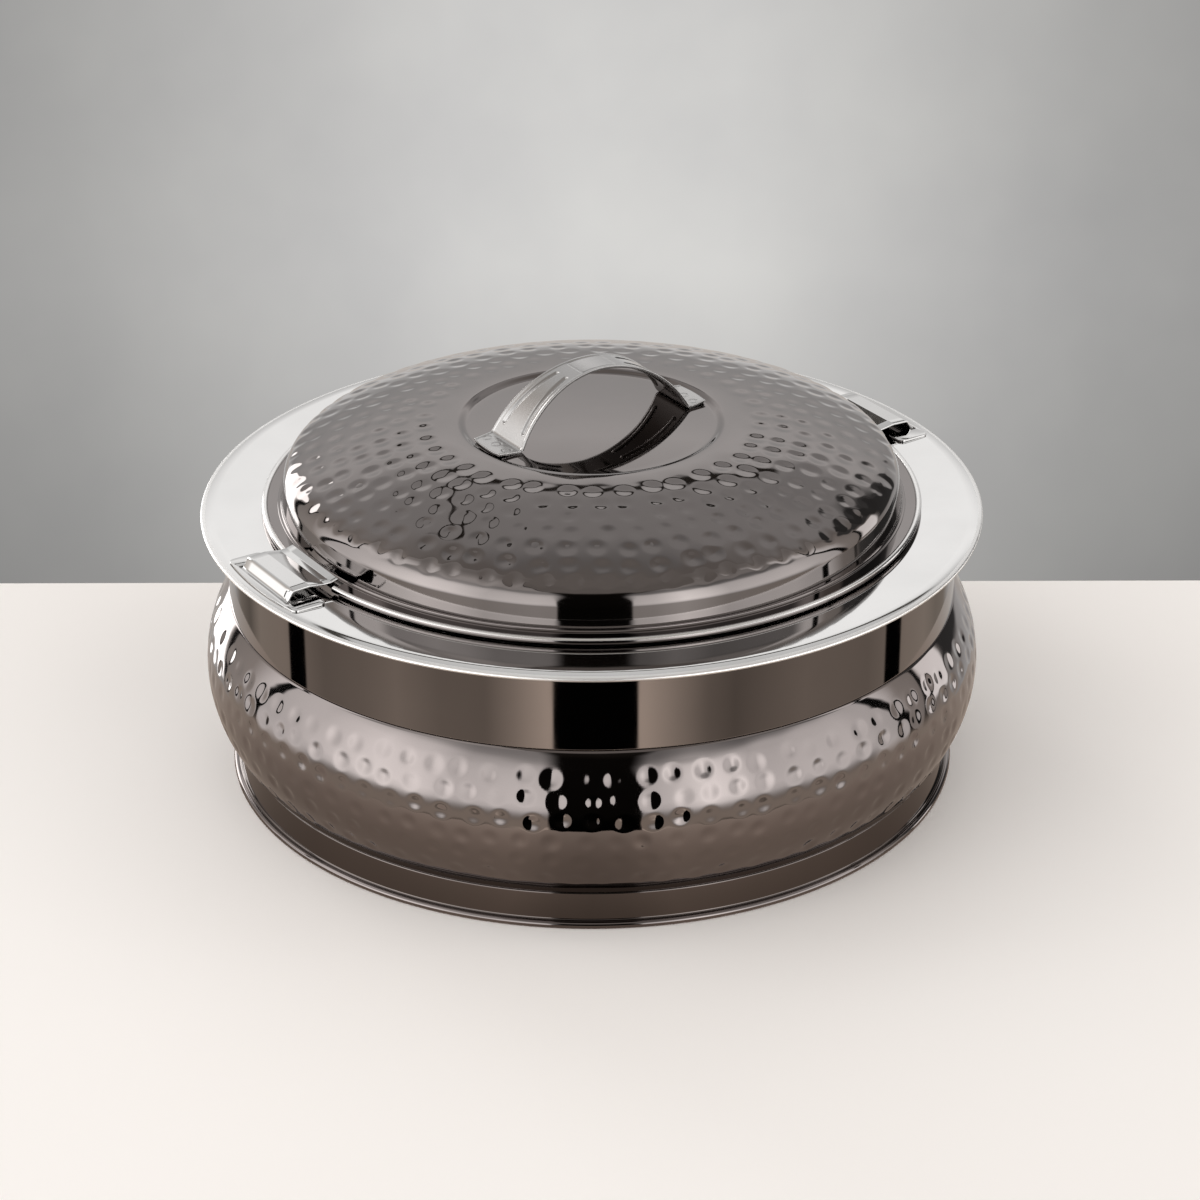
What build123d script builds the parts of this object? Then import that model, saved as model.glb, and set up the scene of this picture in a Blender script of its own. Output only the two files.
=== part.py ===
from build123d import *
import math
import os

# Insulated casserole: a double-walled pot with a wide brim and two spring clips, and a
# double-walled lid that lifts straight off and turns to lock its rolled rim under the clips.
# Millimetres, +Z up. The origin is the middle of the footprint, on the table. The clips and
# the handle lie along X.

# Sheets and clearances
sheet = 0.8  # pot and lid skins
brim_sheet = 1.0
clip_sheet = 0.8
handle_sheet = 1.4
foam_gap = 0.3  # foam to the skins round it
seam_gap = 0.1  # base plate to the foot ring
lid_gap = 0.3  # seated lid to the brim
roll_gap = 0.3  # pan's edge to the lid's rolled rim
spring_gap = 0.4  # locked rim to the clip tongue over it
tip_gap = 0.5  # tongue tip to the cut-out that lets it past
side_gap = 2.0  # tongue's sides to that cut-out

# Mouth and bowl
mouth_radius = 138.0
mouth_bend = 3.0
lip_depth = 7.0
bowl_floor = 22.0
bowl_draft = 5.0
bowl_corner = 26.0

# Lid, radii stepped out from the mouth and heights above its seat
wall_step = 3.3  # lid wall outside the mouth
wall_fillet = 2.5
flange_flat = 0.2
flange_height = 2.2
rim_width = 7.9
rim_bead = 1.65  # radius of the rolled rim
shoulder_height = 11.2
shoulder_rise = 11.9
shoulder_depth = 7.7
crown_rise = 15.2  # shoulder to crown
crown_radius = 61.5
dish_depth = 1.6  # crown to the edge of the dish's floor
dish_swell = 1.7  # rise of that floor to its middle
dish_slope = 4.6  # width of the dish's side
pan_gap = 2.5  # pan's wall inside the mouth
pan_draft = 1.5
pan_depth = 10.9
pan_bend = 2.0
pan_corner = 8.0

# Clips
clip_width = 61.0
clip_depth = 19.0
clip_corner = 3.0
clip_web = 4.9  # between the clip's outer edge and the tongue's root
tongue_width = 41.0
tongue_run = 18.7  # root to the lid's rim
tongue_reach = 6.3  # lid's rim to the tip
tongue_riser = 2.4
tongue_crown = 0.4  # fall of the top towards the riser
tongue_rise = 1.1  # flat top above the low line
slope_start = 7.6  # outside the lid's rim
slope_end = 0.4
flare_start = 3.1  # inside the lid's rim
tongue_flare = 0.9
tongue_bend = 1.2
lance_slit = 0.4

# Brim, neck and belly
brim_margin = 4.5  # past the clips
brim_edge = 6.5  # width that falls away outside the flat
brim_edge_drop = 0.6
brim_nose = 1.9  # height of the rolled nose
brim_overhang = 11.5  # past the neck
neck_height = 40.0
belly_height = 72.0  # seam to seam
belly_bulge = 13.3  # how far it swells past the line between its seams

# Foot ring and base plate
foot_height = 16.0  # up to the belly seam
foot_inset = 2.6  # inside the neck
foot_flare = 1.7
foot_bead = 1.7  # radius of the rolled bead
foot_bead_step = 1.2  # bead's centre outside the foot of the band
foot_wear = 0.15  # flat worn on the bead's underside
foot_fillet = 1.6
base_recess = 3.0
base_rim_lift = 0.8  # lower edge of the base plate above the table
base_bend = 1.8

# Handle
handle_tab = 10.7
tab_margin = 0.6  # tab's end inside the dish
tab_end_width = 21.4
tab_bow = 1.0
arch_rise = 28.1  # above the tabs
handle_foot_width = 26.5
handle_crown_width = 16.8
handle_bend = 2.0
flute_offset = 5.7  # halfway up, from the middle of the strap
flute_width = 2.2
flute_depth = 0.45
flute_middle = 52.6  # degrees above the arch's centre
flute_turn = 36.5  # degrees
flute_slant = 7.9  # degrees that it closes towards the crown

# Worked out from the sizes above
wall_radius = mouth_radius + wall_step
flange_radius = wall_radius + wall_fillet + flange_flat
rim_radius = flange_radius + rim_width
rim_centre = rim_radius - rim_bead
pan_flange_radius = rim_centre - rim_bead - roll_gap
pan_radius = mouth_radius - pan_gap
pan_floor_radius = pan_radius - pan_draft
shoulder_radius = wall_radius - shoulder_depth
dish_radius = crown_radius - dish_slope
bowl_floor_radius = mouth_radius - bowl_draft
tongue_tip = rim_radius - tongue_reach
tongue_root = rim_radius + tongue_run
clip_radius = tongue_root + clip_web
clip_inner = clip_radius - clip_depth
cut_half_width = tongue_width / 2 + side_gap
cut_radius = tongue_tip - tip_gap
brim_radius = clip_radius + brim_margin
brim_flat_radius = brim_radius - brim_edge
neck_radius = brim_radius - brim_overhang
foot_top_radius = neck_radius - foot_inset
foot_band_radius = foot_top_radius + foot_flare
bead_centre = foot_band_radius + foot_bead_step
bead_height = foot_bead - foot_wear
seam_height = foot_height + belly_height
brim_under = seam_height + neck_height
brim_top = brim_under + brim_sheet
bowl_top = brim_top - lip_depth
base_top = base_recess + sheet
lid_seat = brim_top + lid_gap
rim_height = lid_seat + rim_bead
flange_top = lid_seat + flange_height
flange_under = flange_top - sheet
pan_flange_low = flange_under - sheet
pan_floor = pan_flange_low - pan_depth
shoulder_low = lid_seat + shoulder_height
shoulder_top = shoulder_low + shoulder_rise
crown_height = shoulder_top + crown_rise
dish_edge = crown_height - dish_depth
dish_floor = dish_edge + dish_swell  # at its middle
dish_sphere = (dish_radius**2 + dish_swell**2) / (2 * dish_swell)
handle_half_span = dish_radius - tab_margin - handle_tab  # axis to the bend line
tab_seat = dish_floor - dish_sphere + math.sqrt(dish_sphere**2 - handle_half_span**2)
tab_top = tab_seat + handle_sheet
arch_radius = (handle_half_span**2 + arch_rise**2) / (2 * arch_rise)
arch_height = tab_top + arch_rise - arch_radius
flute_radius = (flute_width**2 / 4 + flute_depth**2) / (2 * flute_depth)
tall = 2 * crown_height  # longer than anything that it trims


os.makedirs("parts", exist_ok=True)


def save(part, name):
    """Label a finished piece and write it as its own STEP file."""
    part.label = name
    export_step(part, f"parts/{name}.step")


def dome_line():
    """Outside of the lid from the middle of the dish to the foot of the wall."""
    dish_middle = ((dish_radius + crown_radius) / 2, (dish_edge + crown_height) / 2)
    floor = TangentArc((0, dish_floor), (dish_radius, dish_edge), tangent=(1, 0))
    hollow = TangentArc(floor @ 1, dish_middle, tangent=floor % 1)
    crest = TangentArc(dish_middle, (crown_radius, crown_height), tangent=hollow % 1)
    crown = TangentArc(crest @ 1, (shoulder_radius, shoulder_top), tangent=(1, 0))
    shoulder = TangentArc(crown @ 1, (wall_radius, shoulder_low), tangent=crown % 1)
    return Line(shoulder @ 1, (wall_radius, flange_top + wall_fillet))


def rim_cut_outs():
    """Clear the lid's edge where it passes the two clip tongues."""
    depth = rim_radius
    for side in (-1, 1):
        with Locations((side * (cut_radius + depth / 2), 0, flange_top)):
            Box(depth, 2 * cut_half_width, 4 * rim_bead + 2 * sheet, mode=Mode.SUBTRACT)


# ---- Fills that skins and foam are cut from, overlong where they are trimmed later ----

# Everything inside the pot's outer skin.
with BuildSketch(Plane.XZ) as pot_fill:
    with BuildLine():
        swell = SagittaArc((foot_top_radius, foot_height), (neck_radius, seam_height), -belly_bulge)
        neck_end = (neck_radius, tall)
        foot_end = (foot_top_radius, -tall)
        Polyline(swell @ 1, neck_end, (-tall, tall), (-tall, -tall), foot_end, swell @ 0)
    make_face()

# The bowl's inside, open upwards.
with BuildSketch(Plane.XZ) as bowl_fill:
    with BuildLine():
        floor_end = (bowl_floor_radius, bowl_floor)
        wall = FilletPolyline((0, bowl_floor), floor_end, (mouth_radius, bowl_top), radius=bowl_corner)
        Polyline(wall @ 1, (mouth_radius, tall), (0, tall), wall @ 0)
    make_face()

# Everything under the lid's outer skin.
with BuildSketch(Plane.XZ) as dome_fill:
    with BuildLine():
        outside = dome_line()
        middle = (0, dish_floor)
        Polyline(outside @ 1, (wall_radius, -tall), (-tall, -tall), (-tall, dish_floor), middle)
    make_face()

# The pan's inside, open upwards.
with BuildSketch(Plane.XZ) as pan_fill:
    with BuildLine():
        plug_middle = (-tall, pan_floor)
        floor_end = (pan_floor_radius, pan_floor)
        plug = FilletPolyline(plug_middle, floor_end, (pan_radius, pan_flange_low), radius=pan_corner)
        Polyline(plug @ 1, (pan_radius, shoulder_low), (-tall, shoulder_low), plug_middle)
    make_face()

# ---- Pot ----

# Foot ring: a slightly flared band that ends in a rolled bead with a flat underside.
with BuildPart() as base_ring:
    with BuildSketch(Plane.XZ):
        with BuildLine():
            Polyline(
                (foot_top_radius - sheet, bead_height),
                (foot_top_radius - sheet, foot_height),
                (foot_top_radius, foot_height),
                (foot_band_radius, bead_height),
                close=True,
            )
        make_face()
        with Locations((bead_centre, bead_height)):
            Circle(foot_bead)
        with Locations((bead_centre, 0)):
            Rectangle(4 * foot_bead, 2 * foot_bead, align=(Align.CENTER, Align.MAX), mode=Mode.SUBTRACT)
        crease = vertices().sort_by(Axis.Y)[-3]
        fillet(crease, radius=foot_fillet)
    revolve(axis=Axis.Z)
save(base_ring.part, "base_ring")

# Base plate: a shallow pressed disc that closes the foot, its edge turned down.
with BuildPart() as base_plate:
    with BuildSketch(Plane.XZ):
        with BuildLine():
            edge_radius = foot_top_radius - sheet - seam_gap
            edge = (edge_radius, base_rim_lift)
            FilletPolyline((0, base_top), (edge_radius, base_top), edge, radius=base_bend)
            offset(amount=sheet, side=Side.RIGHT)
        make_face()
    revolve(axis=Axis.Z)
save(base_plate.part, "base_plate")

# Belly: the swelling outer skin between the foot ring and the neck, trimmed square at both.
with BuildPart() as belly_shell:
    with BuildSketch(Plane.XZ):
        add(pot_fill.sketch)
        offset(amount=-sheet, mode=Mode.SUBTRACT)
        with Locations((mouth_radius, foot_height)):
            Rectangle(tall, belly_height, align=(Align.MIN, Align.MIN), mode=Mode.INTERSECT)
    revolve(axis=Axis.Z)
save(belly_shell.part, "belly_shell")

# Neck: a plain cylinder from the belly up to the brim.
with BuildPart() as neck_band:
    with BuildSketch(Plane.XY.offset(seam_height)):
        Circle(neck_radius)
        Circle(neck_radius - sheet, mode=Mode.SUBTRACT)
    extrude(amount=neck_height)
save(neck_band.part, "neck_band")

# Brim: a flat ring with a lip turned down into the mouth and a rolled outer nose.
with BuildPart() as brim:
    with BuildSketch(Plane.XZ):
        nose_radius = brim_radius - brim_nose / 2
        nose_top = brim_top - brim_edge_drop
        lip_outside = mouth_radius + brim_sheet
        lip_bend = mouth_bend - brim_sheet
        with BuildLine():
            lip = Line((mouth_radius, bowl_top), (mouth_radius, brim_top - mouth_bend))
            top_bend = TangentArc(lip @ 1, (mouth_radius + mouth_bend, brim_top), tangent=(0, 1))
            top = Line(top_bend @ 1, (brim_flat_radius, brim_top))
            fall = TangentArc(top @ 1, (nose_radius, nose_top), tangent=(1, 0))
            nose_low = (nose_radius, nose_top - brim_nose)
            ThreePointArc(fall @ 1, (brim_radius, nose_top - brim_nose / 2), nose_low)
            Line(nose_low, (brim_flat_radius, brim_under))
            under = Line((brim_flat_radius, brim_under), (mouth_radius + mouth_bend, brim_under))
            low_bend = TangentArc(under @ 1, (lip_outside, brim_under - lip_bend), tangent=(-1, 0))
            Polyline(low_bend @ 1, (lip_outside, bowl_top), lip @ 0)
        make_face()
    revolve(axis=Axis.Z)
save(brim.part, "brim")

# Bowl: the deep inner wall, butted under the brim's lip.
with BuildPart() as inner_bowl:
    with BuildSketch(Plane.XZ):
        add(bowl_fill.sketch)
        offset(amount=sheet)
        add(bowl_fill.sketch, mode=Mode.SUBTRACT)
        with Locations((0, bowl_top)):
            Rectangle(tall, tall, align=(Align.MIN, Align.MAX), mode=Mode.INTERSECT)
    revolve(axis=Axis.Z)
save(inner_bowl.part, "inner_bowl")

# Pot insulation: foam that fills everything between the bowl and the outer skins.
with BuildSketch(Plane.XZ) as bowl_hole:
    add(bowl_fill.sketch)
    offset(amount=brim_sheet + foam_gap)
with BuildPart() as body_insulation:
    with BuildSketch(Plane.XZ):
        add(pot_fill.sketch)
        offset(amount=-(sheet + foam_gap))
        with Locations((0, base_top)):
            Rectangle(tall, brim_under - base_top, align=(Align.MIN, Align.MIN), mode=Mode.INTERSECT)
        add(bowl_hole.sketch, mode=Mode.SUBTRACT)
        top_corners = vertices().sort_by(Axis.Y)[-2:]
        fillet(top_corners.sort_by(Axis.X)[0], radius=lip_bend)
    revolve(axis=Axis.Z)
save(body_insulation.part, "body_insulation")

# Clips: one stamping each. A flat plate is welded to the brim, and a lanced tongue rises from
# its outer web, runs in over the lid's rim and flares up at the tip.
with BuildPart() as left_clip:
    with BuildSketch(Plane.XY.offset(brim_top)) as plate:
        with Locations((-clip_inner, 0)):
            Rectangle(clip_radius, clip_width, align=(Align.MAX, Align.CENTER))
        Circle(clip_radius, mode=Mode.INTERSECT)
        fillet(plate.vertices(), radius=clip_corner)
        opening_width = tongue_width + 2 * lance_slit
        with Locations((-tongue_root, 0)):
            Rectangle(clip_radius, opening_width, align=(Align.MIN, Align.CENTER), mode=Mode.SUBTRACT)
    extrude(amount=clip_sheet)
    with BuildSketch(Plane.XZ):
        with BuildLine():
            plate_top = brim_top + clip_sheet
            low_line = rim_height + rim_bead + spring_gap + clip_sheet
            flat_line = low_line + tongue_rise
            FilletPolyline(
                (-tongue_root - 2 * tongue_bend, plate_top),
                (-tongue_root, plate_top),
                (-tongue_root + tongue_riser, flat_line - tongue_crown),
                (-rim_radius - slope_start, flat_line),
                (-rim_radius - slope_end, low_line),
                (-rim_radius + flare_start, low_line),
                (-tongue_tip, low_line + tongue_flare),
                radius=tongue_bend,
            )
            offset(amount=clip_sheet, side=Side.RIGHT)
        make_face()
    extrude(amount=tongue_width / 2, both=True)
save(left_clip.part, "left_clip")

with BuildPart() as right_clip:
    mirror(left_clip.part, about=Plane.YZ)
save(right_clip.part, "right_clip")

# ---- Lid ----

# Dome: the outer skin, from the dish that carries the handle out to a short flange.
with BuildPart() as lid_dome:
    with BuildSketch(Plane.XZ):
        with BuildLine():
            foot = dome_line()
            bend = TangentArc(foot @ 1, (wall_radius + wall_fillet, flange_top), tangent=(0, -1))
            Line(bend @ 1, (flange_radius, flange_top))
            offset(amount=sheet, side=Side.RIGHT)
        make_face()
    revolve(axis=Axis.Z)
save(lid_dome.part, "lid_dome")

# Rim: the rolled edge that joins dome and pan, cut away at the clips.
with BuildPart() as lid_rim:
    with BuildSketch(Plane.XZ):
        with Locations((flange_radius, flange_under)):
            Rectangle(rim_centre - flange_radius, sheet, align=(Align.MIN, Align.MIN))
        with Locations((rim_centre, rim_height)):
            Circle(rim_bead)
    revolve(axis=Axis.Z)
    rim_cut_outs()
save(lid_rim.part, "lid_rim")

# Pan: the lid's underside, a flat-floored plug that hangs into the mouth.
with BuildPart() as lid_pan:
    with BuildSketch(Plane.XZ):
        with BuildLine():
            FilletPolyline(
                (pan_flange_radius, pan_flange_low),
                (pan_radius, pan_flange_low),
                (pan_floor_radius, pan_floor),
                (0, pan_floor),
                radius=(pan_bend, pan_corner),
            )
            offset(amount=sheet, side=Side.RIGHT)
        make_face()
    revolve(axis=Axis.Z)
    rim_cut_outs()
save(lid_pan.part, "lid_pan")

# Lid insulation: foam between dome and pan.
with BuildSketch(Plane.XZ) as pan_plug:
    add(pan_fill.sketch)
    offset(amount=-(sheet + foam_gap))
with BuildPart() as lid_insulation:
    with BuildSketch(Plane.XZ):
        add(dome_fill.sketch)
        offset(amount=-(sheet + foam_gap))
        with Locations((0, flange_under + foam_gap)):
            Rectangle(2 * tall, tall, align=(Align.CENTER, Align.MIN), mode=Mode.INTERSECT)
        add(pan_plug.sketch)
        Rectangle(tall, 2 * tall, align=(Align.MIN, Align.CENTER), mode=Mode.INTERSECT)
    revolve(axis=Axis.Z)
save(lid_insulation.part, "lid_insulation")

# Handle flutes: two long grooves up one leg, closing towards the crown.
with BuildPart() as leg_flutes:
    middle = math.radians(flute_middle)
    half_turn = math.radians(flute_turn / 2)
    outward = Vector(math.cos(middle), 0, math.sin(middle))
    upward = Vector(-math.sin(middle), 0, math.cos(middle))
    flute_reach = arch_radius + flute_radius - flute_depth
    for side in (-1, 1):
        slant = math.radians(side * flute_slant)
        run = upward * math.cos(slant) - Vector(0, math.sin(slant), 0)
        first = outward * math.cos(half_turn) - run * math.sin(half_turn)
        across = outward.cross(run)
        arch_middle = (0, side * flute_offset, arch_height)
        with BuildSketch(Plane(arch_middle, x_dir=first, z_dir=across.cross(first))):
            with Locations((flute_reach, 0)):
                Circle(flute_radius)
        revolve(axis=Axis(arch_middle, across), revolution_arc=flute_turn)

# Handle: one arched strap with two pressed flutes up each leg, its feet bent flat and
# spot-welded to the dish.
with BuildPart() as handle_strap:
    end_x = handle_half_span + handle_tab
    half_foot = handle_foot_width / 2
    half_end = tab_end_width / 2
    with BuildSketch(Plane.XZ):
        with BuildLine():
            left_tab = Line((-end_x, tab_top), (-handle_half_span, tab_top))
            arch = ThreePointArc(left_tab @ 1, (0, tab_top + arch_rise), (handle_half_span, tab_top))
            Line(arch @ 1, (end_x, tab_top))
            fillet(vertices().sort_by(Axis.X)[1:-1], radius=handle_bend)
            offset(amount=handle_sheet, side=Side.RIGHT)
        make_face()
    extrude(amount=half_foot, both=True)
    with BuildSketch(Plane.XY.offset(tab_seat)):
        with BuildLine():
            waist_middle = (0, handle_crown_width / 2)
            waist = ThreePointArc((-handle_half_span, half_foot), waist_middle, (handle_half_span, half_foot))
            taper = Line(waist @ 1, (end_x - tab_bow, half_end))
            ThreePointArc(taper @ 1, (end_x, 0), (end_x - tab_bow, -half_end))
            mirror(about=Plane.XZ)
            mirror(about=Plane.YZ)
        make_face()
    extrude(amount=tall, mode=Mode.INTERSECT)
    add(leg_flutes.part, mode=Mode.SUBTRACT)
    mirror(leg_flutes.part, about=Plane.YZ, mode=Mode.SUBTRACT)
save(handle_strap.part, "handle_strap")
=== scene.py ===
"""Insulated casserole: visual model, studio and camera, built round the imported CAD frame."""

import math
import random

import bmesh
import bpy
import numpy as np
from mathutils import Matrix, Vector


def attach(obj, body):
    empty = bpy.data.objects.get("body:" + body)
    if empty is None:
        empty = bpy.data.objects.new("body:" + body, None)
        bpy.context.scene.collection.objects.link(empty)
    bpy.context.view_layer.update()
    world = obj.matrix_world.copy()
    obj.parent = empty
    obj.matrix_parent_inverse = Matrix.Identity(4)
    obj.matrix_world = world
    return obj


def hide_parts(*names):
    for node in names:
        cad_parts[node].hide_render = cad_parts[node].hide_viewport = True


MM = 0.001
VERT, EDGE = bmesh.types.BMVert, bmesh.types.BMEdge

# Directions in the model's frame: towards the camera along the table, and to its right.
FRONT = (-0.5446, -0.8387, 0.0)
RIGHT = (0.8387, -0.5446, 0.0)

# Camera and table, in metres and radians.
CAMERA_BEARING = math.radians(-33.0)
CAMERA_LIFT = 0.46313
CAMERA_ROLL = math.radians(-0.14)
CAMERA_DISTANCE = 1.6312
CAMERA_AIM = (0.0, 0.0, 0.07532)
CAMERA_LENS = 104.31
CAMERA_SHIFT = 0.00685
TABLE_HALF = 6.0
TABLE_EDGE = 0.172  # how far behind the pot's axis the table ends
CARD_RADIUS = 0.293  # the part of the table that the steel reflects
CARD_DROP = 0.0006

# Sizes in mm, the main ones as in the CAD: (radius, height) unless said otherwise.
SHEET = 0.8
SEAM_SOFT = 0.05  # pulled back from a seam, so that it shows as a fine line
FOOT_TOP = (165.9, 16.0)
FOOT_LOW = (167.6, 3.3)
BEAD = (168.8, 1.55, 1.7)  # radius, height, size
NECK_RADIUS = 168.5
SEAM = 88.0
MOUTH = 138.0
LIP_LOW, LIP_BEND = 122.0, 3.0
BRIM_UNDER = 128.0
BRIM_TOP = 129.0
BRIM_FLAT = 173.5  # radius where the flat ends
BRIM_INNER = 128.4  # the brim is dished a little towards the mouth
BRIM_DROP, BRIM_FALL_WIDTH = 0.6, 5.55  # how the brim falls away to its nose
NOSE_RADIUS, NOSE_SIZE = 179.05, 0.95
NOSE_HIGHLIGHT_START = 178.2  # the painted highlight on the rolled nose shows outside this radius
BELLY_ARC = (125.092, 53.521, 55.435)
BELLY_ENDS = (-42.6, 38.46)  # degrees on that arc
SHOULDER = (134.6, 151.95)  # where the crown runs into the shoulder's bend
SHOULDER_BEND = 12.0
SKIN_LOW = 142.5  # the hammering ends at this height
WALL_LOW = 132.7
WALL_LEAN = 7.0  # degrees
WALL_COVE = 1.2
FLANGE = (144.6, 131.5)
CROWN = (61.5, 167.6)
CROWN_SIZE = 178.6
DISH_EDGE = (56.9, 166.0)
DISH_MIDDLE = 167.7
RIM_BEAD = (150.4, 130.8, 1.5)  # radius, height, size
RIM_GAP = 22.5  # half the width left clear for each clip
CLIP_IN, CLIP_OUT, CLIP_HALF = 156.5, 175.5, 30.5
TONGUE_ROOT, TONGUE_TIP, TONGUE_HALF = 170.6, 145.6, 20.5
TONGUE_TOP, TONGUE_HOLD, TONGUE_FLARE = (134.2, 134.6), 133.5, 134.4  # heights out to the tip
STRAP_TIP, STRAP_BEND, TAB_TOP, TAB_LENGTH = 56.3, 45.6, 168.0, 10.7
STRAP_SHEET, TAB_END_WIDTH, TAB_BOW = 1.4, 21.4, 1.0
STRAP_BACK = 1.1  # what lies deeper than this under the outer face is the strap's back, painted darker as shade
ARCH_MIDDLE, ARCH_SIZE, STRAP_TURN = 145.059, 51.049, 63.2
# Distance along the strap from its tip and its width there.
STRAP_WIDTHS = (
    (10.7, 26.5), (20, 24.1), (30, 21.8), (40, 19.7), (50, 18.0), (60, 16.6), (67, 16.1), (72, 16.0),
)
# Pressed into the strap: (along it, across it) in mm for the flutes' ends and the welds, then
# half the length and width of the bare frame on its crown, and the hem along its edges.
FLUTE_LOW, FLUTE_HIGH, FLUTE_REACH, FLUTE_DEPTH = (17.5, 8.0), (50.0, 3.7), 1.4, 0.75
WELDS, WELD_RING, WELD_POOL = ((5.9, -8.3), (5.9, 0.0), (5.9, 8.3)), 1.9, 1.6
PLATE_LONG, PLATE_WIDE, PLATE_ROUND = 8.0, 5.3, 1.0
HEM_WIDTH, HEM_DEPTH, EDGE_ROUND = 0.9, 0.24, 0.35


# ---- Node trees ----


class Nodes:
    """Short calls for building one material's or the world's node tree."""

    def __init__(self, tree):
        self.tree = tree
        tree.nodes.clear()

    def add(self, kind, inputs=None, out=0, **settings):
        node = self.tree.nodes.new(kind)
        for key, value in settings.items():
            setattr(node, key, value)
        for key, value in (inputs or {}).items():
            if isinstance(value, bpy.types.NodeSocket):
                self.tree.links.new(value, node.inputs[key])
            else:
                node.inputs[key].default_value = value
        return node.outputs[out] if len(node.outputs) else node

    def math(self, operation, a, b=0.0, c=0.0):
        return self.add("ShaderNodeMath", {0: a, 1: b, 2: c}, operation=operation)

    def dot(self, a, b):
        return self.add("ShaderNodeVectorMath", {0: a, 1: b}, out=1, operation="DOT_PRODUCT")

    def step(self, value, low, high):
        """0 at low, 1 at high, smooth between; low may be the larger one."""
        inputs = {"Value": value, "From Min": low, "From Max": high}
        return self.add("ShaderNodeMapRange", inputs, interpolation_type="SMOOTHSTEP")

    def span(self, value, low, high, start, end):
        """Value from low to high stretched linearly to start to end."""
        inputs = {"Value": value, "From Min": low, "From Max": high, "To Min": start, "To Max": end}
        return self.add("ShaderNodeMapRange", inputs)

    def mix(self, factor, a, b, blend="MIX"):
        inputs = {0: factor, 6: a, 7: b}
        return self.add("ShaderNodeMix", inputs, out=2, data_type="RGBA", blend_type=blend)

    def ramp(self, value, stops):
        """Colours at places from 0 to 1, in rising order."""
        node = self.tree.nodes.new("ShaderNodeValToRGB")
        elements = node.color_ramp.elements
        while len(elements) < len(stops):
            elements.new(0.5)
        for element, (place, _) in zip(elements, stops):
            element.position = place
        for element, (_, colour) in zip(elements, stops):
            element.color = (*colour, 1.0)
        self.tree.links.new(value, node.inputs[0])
        return node.outputs[0]

    def noise(self, vector, scale, detail=2.0, roughness=0.5):
        inputs = {"Vector": vector, "Scale": scale, "Detail": detail, "Roughness": roughness}
        return self.add("ShaderNodeTexNoise", inputs)

    def bump(self, height, strength, distance):
        inputs = {"Strength": strength, "Distance": distance, "Height": height}
        return self.add("ShaderNodeBump", inputs)

    def surface(self, kind, inputs):
        """The tree's shader and its output."""
        self.add("ShaderNodeOutputMaterial", {"Surface": self.add(kind, inputs)})


def grey(value, tint=(1.0, 1.0, 1.0)):
    return tuple(value * part for part in tint)


# ---- Studio ----

WARM_LOW = (1.0, 0.86, 0.73)
WARM_TOP = (1.0, 0.93, 0.87)
NEUTRAL = (1.0, 0.99, 0.98)


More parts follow.
